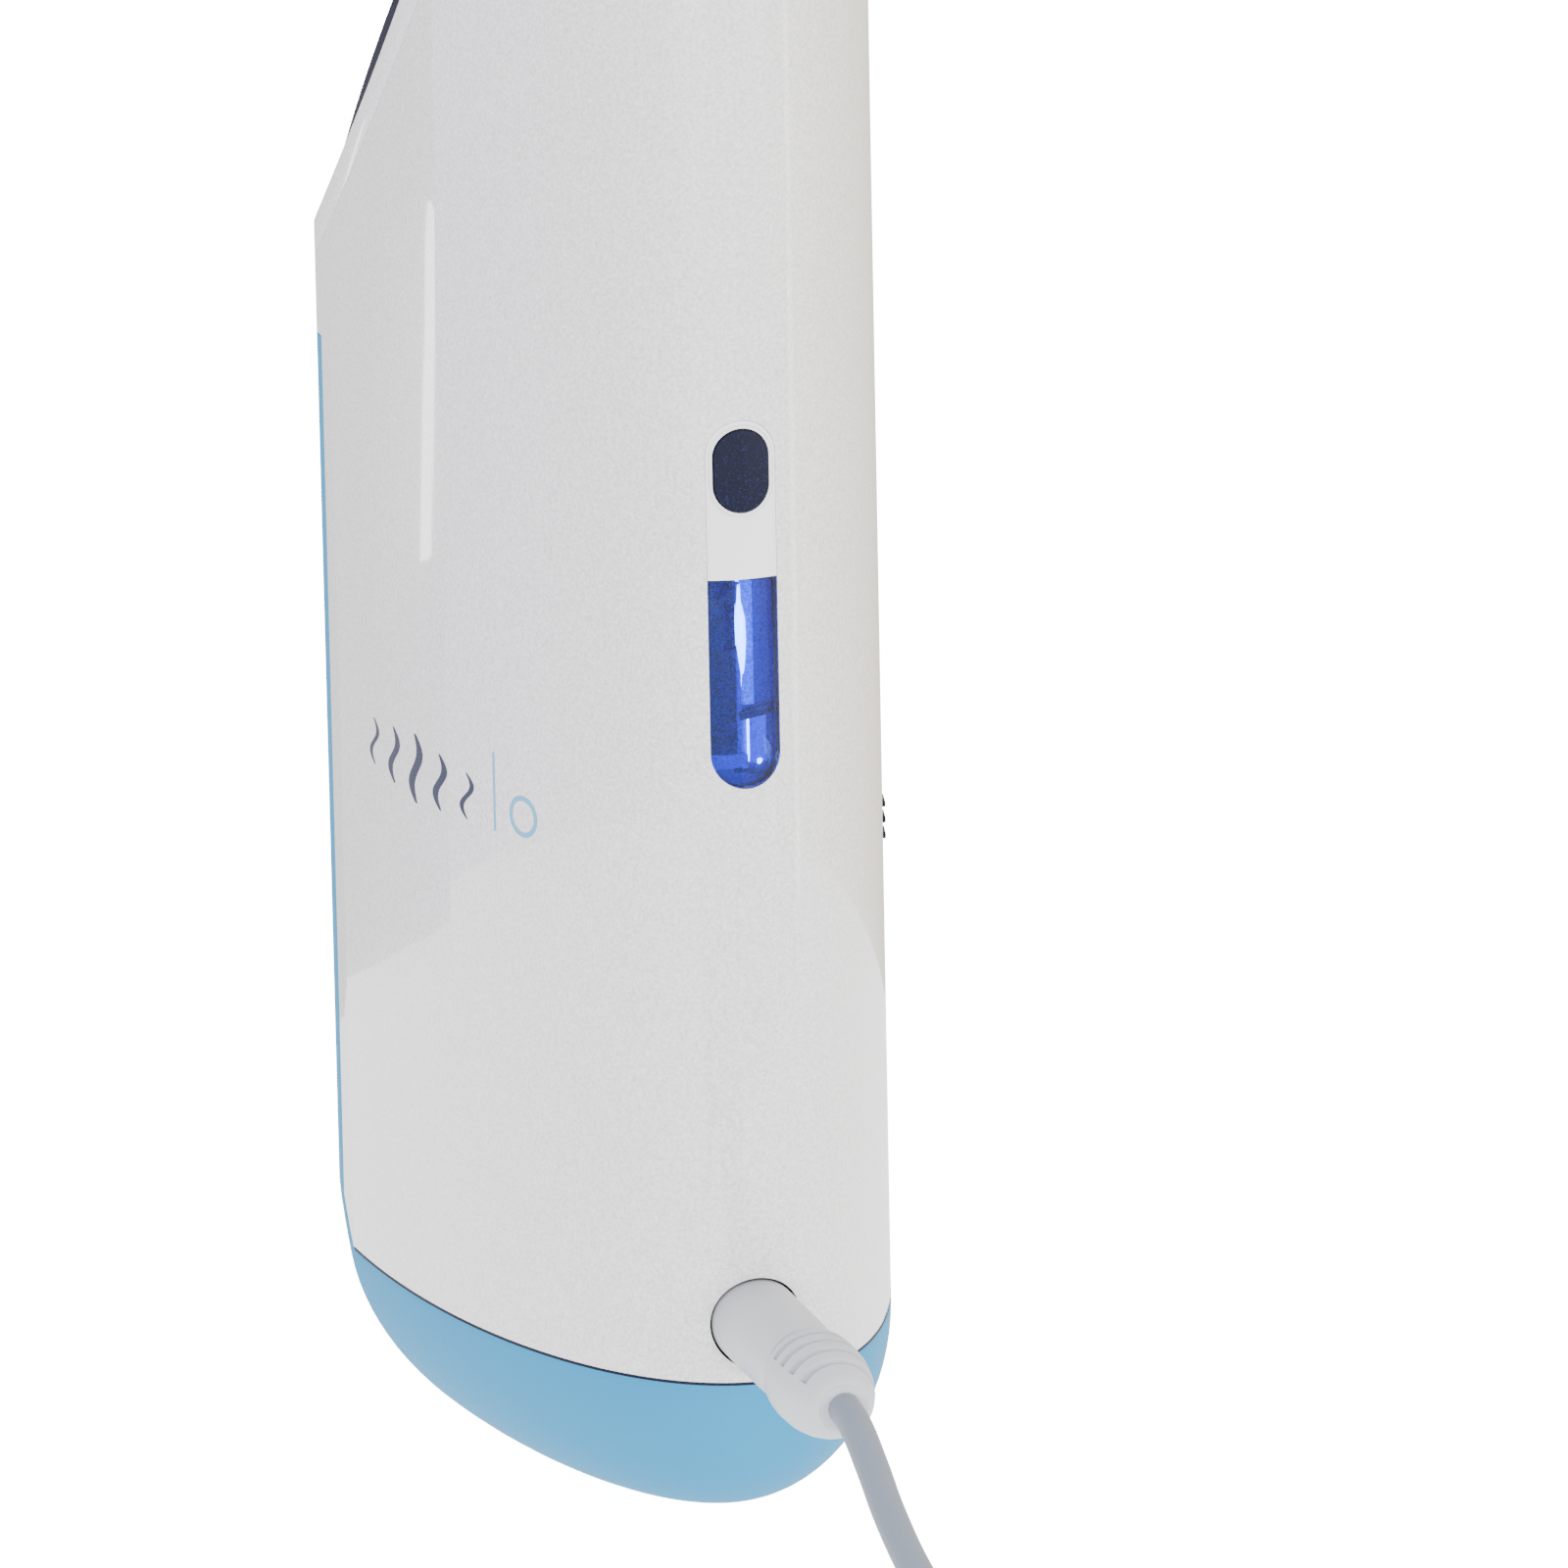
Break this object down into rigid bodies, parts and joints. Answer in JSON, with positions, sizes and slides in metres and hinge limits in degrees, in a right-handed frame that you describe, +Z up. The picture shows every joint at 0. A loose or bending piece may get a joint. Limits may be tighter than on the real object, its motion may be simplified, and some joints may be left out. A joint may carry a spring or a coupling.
{
  "type": "handheld steam inhaler",
  "caption": "Handheld steam inhaler with a slanted mist opening, a tank window, a power button and a low-voltage lead with a wall adaptor.",
  "frame": {"origin": "centre of the base, on the surface that it stands on", "axes": "+Z up, -Y out of the nose with the window and the button, +Y towards the person who breathes at the mist opening"},
  "size_m": [0.088, 0.388, 0.2498],
  "materials": {
    "white_shell": "gloss",
    "white_trim": "satin",
    "blue_shell": "matte",
    "navy_rubber": "satin",
    "navy_plastic": "matte",
    "blue_window": "polished",
    "clear_tank": "polished",
    "dark_plastic": "matte",
    "grey_plastic": "matte",
    "board": "satin",
    "led": "polished",
    "dark_rubber": "matte",
    "wick_fibre": "matte",
    "steel": "brushed",
    "heater_ceramic": "matte",
    "fuse_red": "matte",
    "plug_grey": "satin",
    "cord_grey": "satin"
  },
  "bodies": {
    "body": {"front_shell": "white_shell", "back_shell": "blue_shell", "rim_ring": "white_trim", "mask_collar": "navy_rubber", "scoop_tray": "white_trim", "mist_grille": "white_trim", "mist_duct": "white_trim", "inlay_panel": "white_trim", "button_ring": "white_trim", "button_board": "board", "tact_switch": "dark_plastic", "status_led": "led", "tank_window": "blue_window", "water_tank": "clear_tank", "fill_pipe": "clear_tank", "wick": "wick_fibre", "wick_holder": "steel", "boiler_stand": "dark_plastic", "heater_plate": "heater_ceramic", "thermal_fuse": "fuse_red", "boiler_body": "steel", "boiler_cone": "white_trim", "chassis_deck": "grey_plastic", "main_board": "board", "board_parts": "dark_plastic", "jack_wires": "fuse_red", "dc_jack": "dark_plastic", "jack_pin": "steel", "slider_bezel": "blue_shell", "slide_switch": "steel", "feet": "dark_rubber", "screws": "steel"},
    "button": {"power_button": "navy_plastic", "button_post": "dark_plastic"},
    "slider": {"mist_slider": "navy_plastic", "slider_stem": "dark_plastic"},
    "cap": {"tank_cap": "blue_shell", "cap_seal": "dark_rubber"},
    "lead": {"plug_barrel": "steel", "plug_body": "plug_grey", "plug_boot": "plug_grey", "cord": "cord_grey", "cord_coil": "cord_grey", "coil_tie": "dark_plastic", "cord_tail": "cord_grey", "adaptor_relief": "plug_grey", "adaptor_case": "plug_grey", "adaptor_cover": "plug_grey", "adaptor_core": "board", "adaptor_blades": "steel"}
  },
  "joints": [
    {"name": "button_press", "type": "slide", "parent": "body", "child": "button", "axis": [0, 1, 0], "range_m": [0, 0.001], "stiffness_N_per_m": 600, "springref_m": -0.0005},
    {"name": "slider_set", "type": "slide", "parent": "body", "child": "slider", "axis": [0, 0, 1], "range_m": [-0.006, 0.006]},
    {"name": "cap_lift", "type": "slide", "parent": "body", "child": "cap", "axis": [0, 0, 1], "range_m": [0, 0.012]},
    {"name": "plug_pull", "type": "slide", "parent": "body", "child": "lead", "axis": [0, -1, 0], "range_m": [0, 0.012]}
  ]
}
